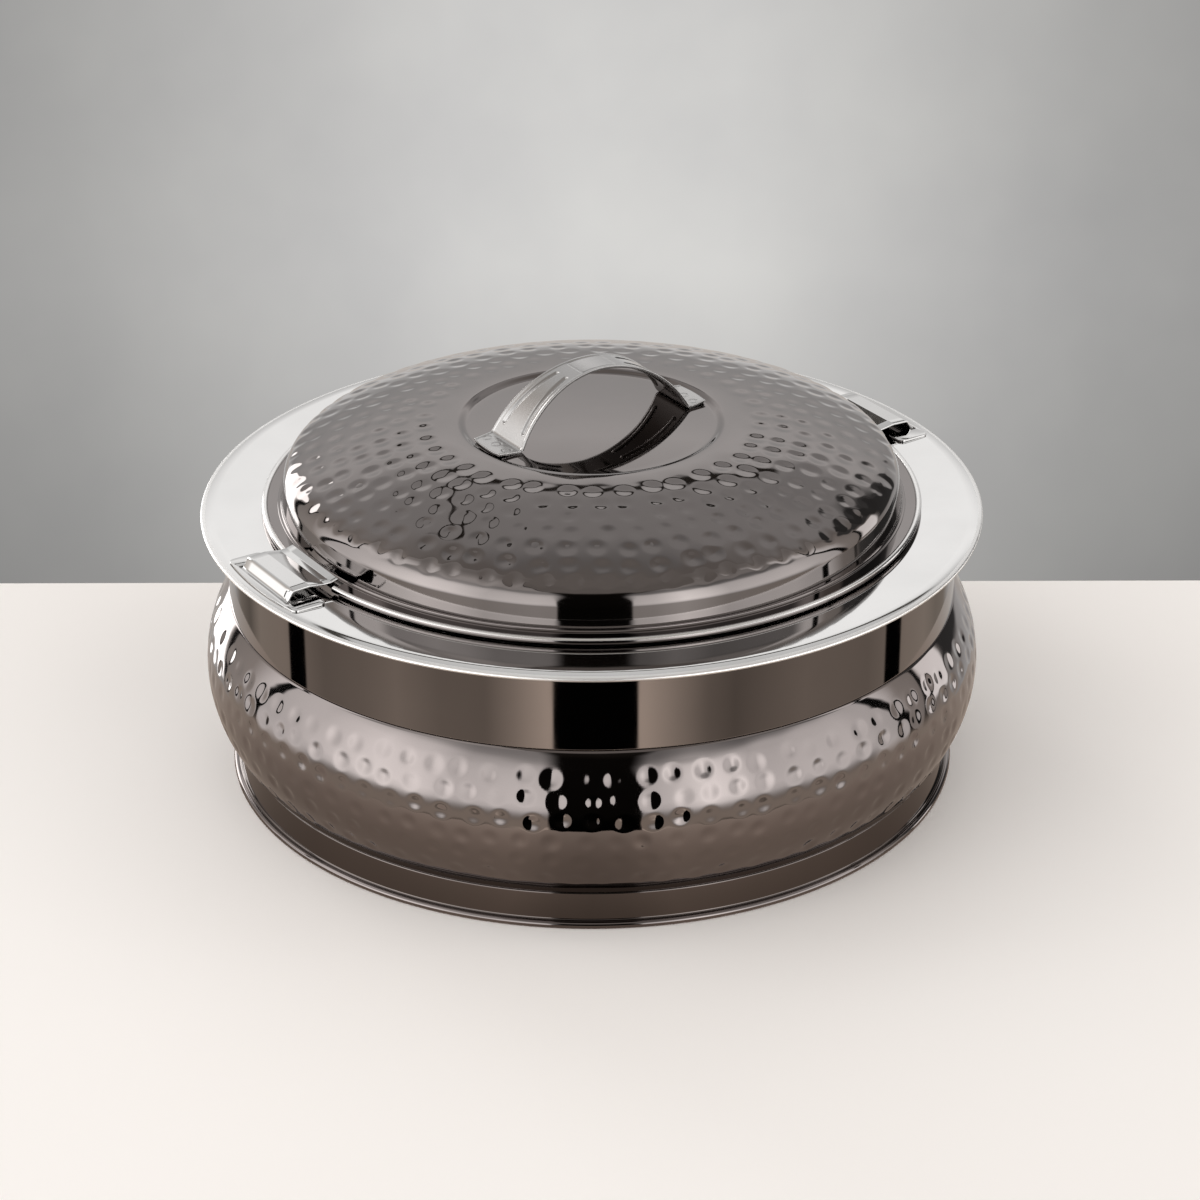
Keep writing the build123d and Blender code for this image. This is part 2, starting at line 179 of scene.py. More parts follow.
def build_world():
    """A soft studio round the pot, by bearing from the camera's side and height above the table."""
    world = bpy.data.worlds.new("studio")
    bpy.context.scene.world = world
    world.use_nodes = True
    n = Nodes(world.node_tree)
    direction = n.add("ShaderNodeTexCoord")
    up = n.add("ShaderNodeSeparateXYZ", {0: direction}, out=2)
    turn = n.math("ARCTAN2", n.dot(direction, RIGHT), n.dot(direction, FRONT))
    turn = n.math("MULTIPLY", turn, math.degrees(1))
    side = n.math("ABSOLUTE", turn)
    height = n.math("MULTIPLY", n.math("ARCSINE", up), math.degrees(1))
    place = n.math("MULTIPLY_ADD", height, 1 / 180, 0.5)
    bearing = n.math("MULTIPLY_ADD", turn, 1 / 360, 0.5)

    def by_height(stops):
        return n.ramp(place, [(deg / 180 + 0.5, grey(value, tint)) for deg, value, tint in stops])

    def by_bearing(stops):
        return n.ramp(bearing, [(deg / 360 + 0.5, grey(value, tint)) for deg, value, tint in stops])

    def past(stops):
        """Degrees that the bearing is to the right of an edge given by (height, bearing)."""
        edge = n.ramp(place, [(deg / 180 + 0.5, grey(value / 360 + 0.5)) for deg, value in stops])
        return n.math("SUBTRACT", turn, n.math("MULTIPLY_ADD", edge, 360, -180))

    def both(a, b):
        return n.math("MULTIPLY", a, b)

    def between(value, low, high, soft=0.6):
        return both(n.step(value, low - soft, low + soft), n.step(value, high + soft, high - soft))

    def spot(shade, mask, value, tint=NEUTRAL):
        return n.mix(mask, shade, (*grey(value, tint), 1.0))

    back = by_height([
        (-90, 0.5, NEUTRAL), (-28, 0.7, NEUTRAL), (-17, 0.62, WARM_TOP), (-8, 0.75, WARM_TOP),
        (-5, 0.95, NEUTRAL), (-1, 0.8, NEUTRAL), (7, 0.6, NEUTRAL), (12, 0.72, NEUTRAL),
        (18, 0.86, NEUTRAL), (23, 1.05, NEUTRAL), (26, 1.18, NEUTRAL), (31, 1.08, NEUTRAL),
        (35, 0.78, NEUTRAL), (40, 0.72, NEUTRAL),
        (57, 0.7, NEUTRAL), (67, 0.43, NEUTRAL), (75, 0.35, WARM_TOP), (90, 0.35, WARM_TOP),
    ])
    ceiling = by_height([
        (-90, 0.004, WARM_LOW), (38, 0.01, WARM_LOW), (43, 0.03, WARM_LOW), (47, 0.36, WARM_TOP),
        (52, 0.42, WARM_TOP), (60, 0.42, WARM_TOP), (90, 0.36, WARM_TOP),
    ])
    flank = by_bearing([
        (-180, 0.9, NEUTRAL), (-152, 0.75, NEUTRAL), (-131, 0.65, WARM_TOP), (-118, 0.9, WARM_TOP),
        (-106, 2.2, NEUTRAL), (94, 2.0, NEUTRAL), (102, 0.8, WARM_TOP), (118, 0.5, WARM_TOP),
        (140, 0.7, NEUTRAL), (180, 0.9, NEUTRAL),
    ])
    below = by_bearing([
        (-180, 0.75, NEUTRAL), (-155, 0.6, NEUTRAL), (-146, 0.31, WARM_LOW), (-136, 0.23, WARM_LOW),
        (-128, 0.55, WARM_LOW), (-112, 0.62, WARM_LOW), (-92, 0.4, WARM_LOW), (-76, 0.48, WARM_LOW),
        (-63, 0.62, WARM_LOW), (-48, 0.44, WARM_LOW), (-33, 0.42, WARM_LOW), (-24, 0.75, WARM_LOW),
        (-14, 1.25, WARM_LOW), (16, 1.25, WARM_LOW), (26, 0.8, WARM_LOW), (36, 0.42, WARM_LOW),
        (45, 0.3, WARM_LOW), (56, 0.4, WARM_LOW), (70, 0.5, WARM_LOW), (96, 0.43, WARM_LOW),
        (116, 0.6, WARM_LOW), (128, 0.55, WARM_LOW), (138, 0.35, WARM_LOW), (146, 0.33, WARM_LOW),
        (155, 0.6, NEUTRAL), (180, 0.75, NEUTRAL),
    ])

    # Overhead, round the sides and behind.
    shade = n.mix(both(n.step(side, 84, 92), n.step(height, 66, 44)), ceiling, flank)
    shade = n.mix(n.step(side, 148, 156), shade, back)
    shade = n.mix(n.step(height, 62, 80), shade, (*grey(0.46, WARM_TOP), 1.0))

    # Two broad soft boxes in front, left and right of a dark gap, that fade out overhead.
    left_inner = past([
        (-90, -12), (32, -12), (40, -13.5), (46, -20), (57, -30), (63, -40), (69, -52), (78, -75),
        (90, -150),
    ])
    right_inner = past([
        (-90, 14.2), (32, 14.2), (40, 16), (46, 26), (52, 45), (63, 74), (90, 150),
    ])
    left_outer = past([(-90, -114), (-24, -114), (27, -98), (45, -116), (60, -135), (90, -160)])
    right_outer = past([(-90, 106), (-24, 104), (27, 88), (45, 105), (60, 130), (90, 160)])
    soft = n.math("MULTIPLY_ADD", n.step(height, 5, 30), 3.0, 0.5)
    hard = n.math("MULTIPLY", soft, -1.0)
    fade = n.ramp(place, [(deg / 180 + 0.5, grey(value)) for deg, value in (
        (-22, 0.0), (-16, 0.2), (-12, 0.5), (-8, 0.85), (-3, 1.0), (20, 0.92), (26, 0.86), (32, 0.7),
        (36, 0.42), (39, 0.34), (45, 0.29), (57, 0.26), (66, 0.18), (80, 0.0),
    )])
    right_fade = both(fade, n.span(n.step(height, 28, 34), 0, 1, 1.0, 0.6))
    left_box = both(n.step(left_inner, soft, hard), n.step(left_outer, -0.5, 0.5))
    right_box = both(n.step(right_inner, hard, soft), n.step(right_outer, 0.5, -0.5))
    box_light = by_bearing([
        (-115, 1.4, NEUTRAL), (-91, 2.0, NEUTRAL), (-77, 2.6, NEUTRAL), (-63, 3.2, NEUTRAL),
        (-50, 2.9, NEUTRAL), (-38, 2.1, NEUTRAL), (-28, 2.2, NEUTRAL), (-20, 2.3, NEUTRAL),
        (-12, 2.1, NEUTRAL), (14, 1.9, NEUTRAL), (22, 2.2, NEUTRAL), (33, 3.3, NEUTRAL),
        (40, 2.9, NEUTRAL), (49, 2.0, NEUTRAL), (63, 2.1, NEUTRAL), (77, 2.1, NEUTRAL),
        (90, 1.6, NEUTRAL), (106, 1.2, NEUTRAL),
    ])
    shade = n.mix(both(left_box, fade), shade, box_light)
    shade = n.mix(both(right_box, right_fade), shade, box_light)

    # Their dark frames and stands.
    upright = both(n.step(height, 50, 40), n.step(height, -80, -70))
    shade = spot(shade, both(between(left_outer, -3.0, 0.2), upright), 0.01)
    shade = spot(shade, both(between(right_outer, -0.2, 3.2), upright), 0.01)
    arch = both(n.step(height, 50, 53), n.step(height, 78, 74))
    shade = spot(shade, both(between(left_inner, 0.2, 2.4), arch), 0.08)

    # A window far to the left, a narrow one to the right and dark things beside them, each
    # from one bearing to another and one height to another, with how soft its edges are.
    for bearings, heights, value in (
        ((-151, -135, 1.0), (-18, 25, 1.0), 4.5),
        ((-133.5, -131, 0.5), (-18, 30, 1.0), 0.02),
        ((112, 151, 2.0), (18, 36, 3.0), 0.12),
        ((150, 166, 4.0), (29, 42, 3.0), 0.64),
        ((124, 143, 2.0), (-5, 40, 2.0), 0.08),
        ((112, 123, 1.0), (-10, 15, 1.5), 2.4),
        ((109.5, 111.5, 0.4), (-18, 20, 1.0), 0.02),
    ):
        shade = spot(shade, both(between(turn, *bearings), between(height, *heights)), value)

    # A cable slung behind, from the middle up to the left.
    behind = n.math("SUBTRACT", n.math("MODULO", n.math("ADD", turn, 360), 360), 180)
    slung = n.math("MULTIPLY_ADD", n.step(behind, 7, 24), 20.0, 33.5)
    cable = between(n.math("SUBTRACT", height, slung), -1.2, 1.2, 0.5)
    shade = spot(shade, both(cable, between(behind, -15, 27, 1.0)), 0.05, WARM_LOW)

    # Beyond the table's sides.
    table = n.mix(n.step(height, -25, -23), below, (*grey(0.7, WARM_LOW), 1.0))
    far = n.step(height, -22.5, -24.5)
    table = spot(table, both(between(turn, -109.5, -101), far), 0.002)
    table = spot(table, both(between(turn, 104.5, 113), far), 0.002)
    table = spot(table, between(turn, -12, 14.2), 0.002)
    low = both(n.step(height, -9, -20), n.step(side, 133, 128))
    low = n.math("MAXIMUM", low, n.step(height, -20, -23))
    shade = n.mix(low, shade, table)

    # What the camera sees of it: a grey wall behind the table, and pale ground to the sides.
    across = n.math("ABSOLUTE", behind)
    # A painted pool of light on the wall, brightest straight behind the pot and fading to the sides.
    middle = n.ramp(n.math("MULTIPLY", across, 1 / 90), [(deg / 90, grey(value)) for deg, value in (
        (0, 1.0), (2.5, 0.97), (5.1, 0.82), (8.9, 0.6), (12, 0.5), (20, 0.5),
    )])
    wall = by_height([
        (-40, 0.44, NEUTRAL), (-26.2, 0.47, NEUTRAL), (-24.5, 0.53, NEUTRAL), (-21, 0.65, NEUTRAL),
        (-18.3, 0.63, NEUTRAL), (-14, 0.6, NEUTRAL), (30, 0.6, NEUTRAL),
    ])
    mottle = n.ramp(n.noise(direction, 13.0, 4.0, 0.55), [
        (0.3, grey(0.94)), (0.7, grey(1.06, (1.0, 1.0, 0.985))),
    ])
    wall = n.mix(1.0, n.mix(1.0, wall, middle, "MULTIPLY"), mottle, "MULTIPLY")
    seen = n.mix(n.step(across, 12, 42), wall, (0.86, 0.84, 0.82, 1.0))
    # It lights matt surfaces a little more than it shows in the steel.
    rays = n.add("ShaderNodeLightPath").node
    cast = n.mix(1.0, shade, (1.24, 1.24, 1.24, 1.0), "MULTIPLY")
    shade = n.mix(rays.outputs["Is Diffuse Ray"], shade, cast)
    colour = n.mix(rays.outputs["Is Camera Ray"], shade, seen)
    background = n.add("ShaderNodeBackground", {"Color": colour, "Strength": 1.0})
    n.add("ShaderNodeOutputWorld", {"Surface": background})


def build_floor():
    """The pale table, with its back edge close behind the pot."""
    bm = bmesh.new()
    bmesh.ops.create_grid(bm, x_segments=1, y_segments=1, size=TABLE_HALF)
    turn_about_axis(bm, bm.verts, CAMERA_BEARING)
    bmesh.ops.translate(bm, vec=Vector(FRONT) * (TABLE_HALF - TABLE_EDGE), verts=bm.verts)
    floor = finish_mesh("floor", bm, new_material("pale_floor"))
    floor.visible_glossy = False
    n = Nodes(floor.active_material.node_tree)
    where = n.add("ShaderNodeTexCoord", out=3)
    colour = n.ramp(n.noise(where, 3.0, 3.0), [
        (0.3, (0.955, 0.925, 0.9)), (0.7, (0.965, 0.938, 0.913)),
    ])
    inputs = {"Base Color": colour, "Roughness": 0.6, "Specular IOR Level": 0.2}
    n.surface("ShaderNodeBsdfPrincipled", inputs)


def build_reflected_table():
    """What the polished steel reflects of the table: warm in the pot's shade, pale behind it."""
    bm = bmesh.new()
    bmesh.ops.create_circle(bm, cap_ends=True, radius=CARD_RADIUS, segments=128)
    bmesh.ops.translate(bm, vec=(0.0, 0.0, -CARD_DROP), verts=bm.verts)
    card = finish_mesh("reflected_table", bm, new_material("reflected_table"))
    card.visible_camera = False
    card.visible_diffuse = False
    card.visible_shadow = False
    card.visible_transmission = False
    n = Nodes(card.active_material.node_tree)
    where = n.add("ShaderNodeTexCoord", out=3)
    away = n.add("ShaderNodeVectorMath", {0: where}, out=1, operation="LENGTH")
    near = n.ramp(n.math("MULTIPLY", away, 2.0), [
        (0.33, (0.38, 0.305, 0.255)), (0.4, (0.48, 0.39, 0.325)), (0.46, (0.6, 0.49, 0.415)),
        (0.58, (0.82, 0.69, 0.59)),
    ])
    ahead = n.dot(where, FRONT)
    off = n.math("ABSOLUTE", n.math("ARCTAN2", n.dot(where, RIGHT), ahead))
    shaded = n.ramp(off, [
        (0.0, grey(0.72)), (0.1, grey(0.78)), (0.25, grey(1.05)), (0.7, grey(0.95)), (1.0, grey(0.85)),
    ])
    near = n.mix(1.0, near, shaded, "MULTIPLY")
    colour = n.mix(n.step(ahead, 0.0, -0.2), near, (0.55, 0.53, 0.51, 1.0))
    n.surface("ShaderNodeEmission", {"Color": colour, "Strength": 1.0})


def build_camera():
    across = math.cos(CAMERA_LIFT)
    back = Vector((
        math.sin(CAMERA_BEARING) * across, -math.cos(CAMERA_BEARING) * across, math.sin(CAMERA_LIFT),
    ))
    data = bpy.data.cameras.new("camera")
    data.sensor_width = 36.0
    data.lens = CAMERA_LENS
    data.shift_x = CAMERA_SHIFT
    camera = bpy.data.objects.new("camera", data)
    bpy.context.scene.collection.objects.link(camera)
    camera.location = Vector(CAMERA_AIM) + back * CAMERA_DISTANCE
    camera.rotation_euler = (-back).to_track_quat("-Z", "Y").to_euler()
    camera.rotation_euler.rotate_axis("Z", CAMERA_ROLL)
    bpy.context.scene.camera = camera


# ---- Materials ----


def new_material(name):
    material = bpy.data.materials.new(name)
    material.use_nodes = True
    return material


def polished(name, colour, roughness, smear=0.03):
    """Polished sheet steel: faint clouding of its tone, wiping smears in its gloss."""
    material = new_material(name)
    n = Nodes(material.node_tree)
    where = n.add("ShaderNodeTexCoord", out=3)
    tone = n.ramp(n.noise(where, 22.0, 3.0), [(0.35, grey(0.97)), (0.65, grey(1.03))])
    base = n.mix(1.0, (*colour, 1.0), tone, "MULTIPLY")
    gloss = n.span(n.noise(where, 60.0, 3.0), 0.35, 0.75, roughness, roughness + smear)
    n.surface("ShaderNodeBsdfPrincipled", {"Base Color": base, "Metallic": 1.0, "Roughness": gloss})
    return material


def turned(name, colour, roughness):
    """Satin steel with fine rings of brushing round the pot's axis."""
    material = new_material(name)
    n = Nodes(material.node_tree)
    where = n.add("ShaderNodeTexCoord", out=3)
    x, y, z = n.add("ShaderNodeSeparateXYZ", {0: where}).node.outputs
    radius = n.math("SQRT", n.math("ADD", n.math("POWER", x, 2.0), n.math("POWER", y, 2.0)))
    ring = n.add("ShaderNodeCombineXYZ", {0: radius, 1: z})
    lines = n.noise(ring, 1800.0, 3.0, 0.7)
    tone = n.ramp(lines, [(0.3, grey(0.93)), (0.7, grey(1.05))])
    base = n.mix(1.0, (*colour, 1.0), tone, "MULTIPLY")
    gloss = n.span(lines, 0.3, 0.7, roughness - 0.05, roughness + 0.08)
    bump = n.bump(lines, 0.15, 0.0001)
    inputs = {"Base Color": base, "Metallic": 1.0, "Roughness": gloss, "Normal": bump}
    n.surface("ShaderNodeBsdfPrincipled", inputs)
    return material


def foam(name):
    """Rigid foam with a fine open grain."""
    material = new_material(name)
    n = Nodes(material.node_tree)
    where = n.add("ShaderNodeTexCoord", out=3)
    cells = n.noise(where, 600.0, 2.0)
    colour = n.ramp(cells, [(0.3, (0.72, 0.62, 0.38)), (0.7, (0.8, 0.7, 0.46))])
    bump = n.bump(cells, 0.5, 0.0005)
    n.surface("ShaderNodeBsdfPrincipled", {"Base Color": colour, "Roughness": 0.9, "Normal": bump})
    return material


# ---- Mesh helpers ----


def finish_mesh(name, bm, material):
    mesh = bpy.data.meshes.new(name)
    bm.to_mesh(mesh)
    bm.free()
    mesh.shade_smooth()
    mesh.materials.append(material)
    item = bpy.data.objects.new(name, mesh)
    bpy.context.scene.collection.objects.link(item)
    return item


def place_piece(item, body, material_slot, *nodes):
    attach(item, body)
    if nodes:
        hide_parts(*nodes)


def only(parts, kind):
    return [part for part in parts if isinstance(part, kind)]


def turn_about_axis(bm, verts, angle):
    """Turns vertices about the pot's axis."""
    bmesh.ops.rotate(bm, cent=(0, 0, 0), matrix=Matrix.Rotation(angle, 3, "Z"), verts=verts)


def copy_turned(bm, geom, angle):
    """A copy of some geometry, turned about the pot's axis."""
    copied = bmesh.ops.duplicate(bm, geom=geom)["geom"]
    turn_about_axis(bm, only(copied, VERT), angle)


def round_edges(bm, edges, size, segments):
    bmesh.ops.bevel(
        bm, geom=edges, offset=size * MM, segments=segments, profile=0.5, affect="EDGES", material=-1,
    )


def arc(middle, size, start, end, steps):
    """Points in mm on an arc about middle, angles in degrees."""
    points = []
    for i in range(steps + 1):
        angle = math.radians(start + (end - start) * i / steps)
        points.append((middle[0] + size * math.cos(angle), middle[1] + size * math.sin(angle)))
    return points


def line(start, end, pitch, edge=0.3):
    """Points in mm between start and end, with one close to each so that the flat shades flat."""
    long = math.dist(start, end)
    count = max(1, round((long - 2 * edge) / pitch))
    places = [0.0, edge] + [edge + (long - 2 * edge) * i / count for i in range(1, count + 1)] + [long]
    way = [(end[k] - start[k]) / long for k in (0, 1)]
    return [(start[0] + way[0] * p, start[1] + way[1] * p) for p in places]


def join(*runs):
    """Runs of points end to end, with doubled points dropped."""
    points = []
    for run in runs:
        for point in run:
            if not points or math.dist(point, points[-1]) > 0.002:
                points.append(point)
    if math.dist(points[0], points[-1]) < 0.002:
        points.pop()
    return points


def corner(before, at, after, size, steps=5):
    """The rounding of the corner at a point, between its neighbours, in mm."""
    a, b, c = Vector(before), Vector(at), Vector(after)
    u, v = (a - b).normalized(), (c - b).normalized()
    half = u.angle(v) / 2
    reach = size / math.tan(half)
    middle = b + (u + v).normalized() * size / math.sin(half)
    first, last = b + u * reach - middle, b + v * reach - middle
    turn = first.angle_signed(last)
    points = []
    for i in range(steps + 1):
        angle = -turn * i / steps
        x = first.x * math.cos(angle) - first.y * math.sin(angle)
        y = first.x * math.sin(angle) + first.y * math.cos(angle)
        points.append((middle.x + x, middle.y + y))
    return points


def rounded(points, pitch=6.0):
    """Closed outline from (across, up, rounding) corners, with its straight runs divided."""
    bends = []
    for i, (x, y, size) in enumerate(points):
        before, after = points[i - 1][:2], points[(i + 1) % len(points)][:2]
        bends.append(corner(before, (x, y), after, size) if size else [(x, y)])
    runs = []
    for i, bend in enumerate(bends):
        following = bends[(i + 1) % len(bends)]
        runs.append(bend)
        if math.dist(bend[-1], following[0]) > 1.0:
            runs.append(line(bend[-1], following[0], pitch))
    return join(*runs)


def spun(name, outline, steps, material):
    """A closed outline of (radius, height) points in mm turned all the way round the axis.

    One sector is spun and the rest are turned copies of it, so steps is a multiple of 16."""
    sectors = 16
    bm = bmesh.new()
    verts = [bm.verts.new((radius * MM, 0, height * MM)) for radius, height in outline]
    pairs = zip(verts, verts[1:] + verts[:1])
    edges = [bm.edges.new(pair) for pair in pairs if pair[0].co.x + pair[1].co.x > 0]
    bmesh.ops.spin(
        bm, geom=verts + edges, cent=(0, 0, 0), axis=(0, 0, 1), angle=math.tau / sectors,
        steps=steps // sectors,
    )
    sector = bm.verts[:] + bm.edges[:] + bm.faces[:]
    for i in range(1, sectors):
        copy_turned(bm, sector, math.tau * i / sectors)
    bmesh.ops.remove_doubles(bm, verts=bm.verts, dist=1e-6)
    bmesh.ops.recalc_face_normals(bm, faces=bm.faces)
    return finish_mesh(name, bm, material)


def read_vertices(mesh, what):
    values = np.zeros(len(mesh.vertices) * 3)
    mesh.vertices.foreach_get(what, values)
    return values.reshape(-1, 3)


def write_points(mesh, points):
    mesh.vertices.foreach_set("co", (points * MM).ravel())
    mesh.update()


# ---- Hammering ----

MARK_POWER = 1.9  # how a mark's hollow runs out to its edge
WAVE_COUNT, WAVE_LENGTHS = 14, (13, 30)
WAVE_DEPTH, WAVE_LIFT = 0.013, 8  # the lift keeps the unevenness inwards


def ring_of_marks(draw, surface, count, turn, size, steepness, lightest):
    """Hammer marks round one ring, loosely spaced: (x, y, z, size, depth) in mm."""
    marks = []
    for i in range(count):
        angle = (i + turn + draw.uniform(-0.15, 0.15)) * math.tau / count
        r, z = surface(draw.uniform(-1.0, 1.0))
        reach = size * draw.uniform(0.9, 1.08)
        depth = size * draw.uniform(lightest, 1.1) * steepness
        marks.append((r * math.cos(angle), r * math.sin(angle), z, reach, depth))
    return marks


def hammer(item, is_skin, marks, draw, smooth_share):
    """Presses the marks and a faint unevenness into a piece's outer skin."""
    mesh = item.data
    points, normals = read_vertices(mesh, "co") / MM, read_vertices(mesh, "normal")
    skin = np.nonzero(is_skin(points))[0]
    place = points[skin]
    sink = np.zeros(len(skin))
    angle = np.arctan2(place[:, 1], place[:, 0])
    order = np.argsort(angle)
    ranked = angle[order]
    for x, y, z, size, depth in marks:
        middle, reach = math.atan2(y, x), 1.2 * size / math.hypot(x, y)
        near = []
        for lap in (0.0, -math.tau, math.tau):
            low, high = np.searchsorted(ranked, (middle + lap - reach, middle + lap + reach))
            near.append(np.arange(low, high))
        near = order[np.concatenate(near)]
        away = ((place[near] - (x, y, z)) ** 2).sum(1) / size**2
        inside = away < 1
        sink[near[inside]] += depth * (1 - away[inside]) ** MARK_POWER
    wave = np.zeros(len(skin))
    for _ in range(WAVE_COUNT):
        way = np.array([draw.gauss(0, 1) for _ in range(3)])
        way *= math.tau / draw.uniform(*WAVE_LENGTHS) / np.linalg.norm(way)
        wave += np.sin(place @ way + draw.uniform(0, math.tau))
    sink += WAVE_DEPTH * (wave + WAVE_LIFT) * smooth_share(place)
    points[skin] -= normals[skin] * sink[:, None]
    write_points(mesh, points)


# ---- Pot ----


def build_foot(material, bead_material):
    """The flared band and its rolled bead, worn flat where it stands."""
    radius, height, size = BEAD
    worn = 0.02
    bead = [(r, max(z, worn)) for r, z in arc((radius, height), size, -150, 100, 22)]
    inner = FOOT_TOP[0] - SHEET
    cove = (FOOT_LOW[0] - 0.05, FOOT_LOW[1] + 0.55)
    top = (FOOT_TOP[0], FOOT_TOP[1] - SEAM_SOFT)
    lip = corner(cove, top, (inner, top[1]), 0.7)
    outline = join(
        [(inner, 1.2)], bead, [(FOOT_LOW[0] + 0.18, FOOT_LOW[1] + 0.1)], line(cove, lip[0], 2.0), lip,
        [(inner, top[1])],
    )
    item = spun("foot_ring", outline, 384, material)
    item.data.materials.append(bead_material)
    # The band and the bead's inner half take the darker steel, a painted shade; the bead's outer half
    # keeps the pot's smoked steel.
    for face in item.data.polygons:
        at = face.center / MM
        face.material_index = int(at.z < FOOT_LOW[1] and at.xy.length > radius)
    return item


def build_neck(material):
    """The plain cylinder between the belly's seam and the brim."""
    low, inner = SEAM + SEAM_SOFT, NECK_RADIUS - SHEET
    outline = rounded([
        (NECK_RADIUS, low, 0.3), (NECK_RADIUS, BRIM_UNDER, 0.0), (inner, BRIM_UNDER, 0.0),
        (inner, low, 0.3),
    ], 4.0)
    return spun("neck", outline, 384, material)


def build_brim(material, edge_material):
    """The brim with its lip turned down into the mouth and its outer edge rolled under."""
    brim_sheet = BRIM_TOP - BRIM_UNDER
    bend = (MOUTH + LIP_BEND, BRIM_INNER - LIP_BEND)
    nose = (NOSE_RADIUS, BRIM_TOP - BRIM_DROP - NOSE_SIZE)
    fall = [(BRIM_FLAT + BRIM_FALL_WIDTH * t, BRIM_TOP - BRIM_DROP * t * t) for t in (0.2, 0.4, 0.6, 0.8)]
    outline = join(
        line((MOUTH, LIP_LOW), (MOUTH, bend[1]), 1.5),
        arc(bend, LIP_BEND, 180, 91, 10),
        line((bend[0], BRIM_INNER), (BRIM_FLAT, BRIM_TOP), 4.0),
        fall,
        arc(nose, NOSE_SIZE, 84, -90, 10),
        line((nose[0], nose[1] - NOSE_SIZE), (BRIM_FLAT, BRIM_UNDER), 2.0),
        line((BRIM_FLAT, BRIM_UNDER), (bend[0], BRIM_INNER - brim_sheet), 6.0),
        arc(bend, LIP_BEND - brim_sheet, 90, 180, 6),
        [(MOUTH + brim_sheet, LIP_LOW)],
    )
    item = spun("brim_ring", outline, 384, material)
    item.data.materials.append(edge_material)
    # The upper, outer part of the rolled nose takes the brighter steel, a painted highlight line.
    for face in item.data.polygons:
        at = face.center / MM
        face.material_index = int(at.xy.length > NOSE_HIGHLIGHT_START and at.z > nose[1] - 0.9)
    return item


def build_belly(material):
    """The swelling skin between the two seams, hammered in six rings."""
    draw = random.Random(11)
    middle_r, middle_z, size = BELLY_ARC
    low, high = BELLY_ENDS
    edge = 0.35 / size * 57.3  # degrees in from each seam, so that it shades crisp
    outline = join(
        [(FOOT_TOP[0] - 0.3, FOOT_TOP[1] + 0.08)],
        arc((middle_r, middle_z), size, low + edge, high - edge, 80),
        [(NECK_RADIUS - 0.3, SEAM - 0.03)],
        arc((middle_r, middle_z), size - SHEET, high, low, 8),
    )
    item = spun("belly", outline, 1040, material)

    def is_skin(points):
        radius = np.hypot(points[:, 0], points[:, 1])
        return np.hypot(radius - middle_r, points[:, 2] - middle_z) > size - 0.3

    def smooth_share(points):
        radius = np.hypot(points[:, 0], points[:, 1])
        angle = np.degrees(np.arctan2(points[:, 2] - middle_z, radius - middle_r))
        return np.clip((high - angle) / 6, 0, 1) * np.clip((angle - low) / 8, 0, 1)

    # How far down the skin each ring of marks is from the upper end, in mm, and its count.
    rows = ((12.0, 84), (21.5, 86), (31.5, 88), (42.0, 86), (52.5, 84), (63.0, 82))
    marks = []
    for row, (drop, count) in enumerate(rows):
        def surface(away, drop=drop):
            angle = math.radians(high) - (drop + away) / size
            return middle_r + size * math.cos(angle), middle_z + size * math.sin(angle)
        phase = 0.5 * (row % 2) + draw.uniform(-0.2, 0.2)
        marks += ring_of_marks(draw, surface, count, phase, size=4.7, steepness=0.135, lightest=0.45)
    hammer(item, is_skin, marks, draw, smooth_share)
    return item


# ---- Lid ----


def crown_height(radius):
    """Height of the lid's hammered crown at a radius, in mm."""
    return CROWN[1] - CROWN_SIZE + np.sqrt(CROWN_SIZE**2 - (radius - CROWN[0]) ** 2)


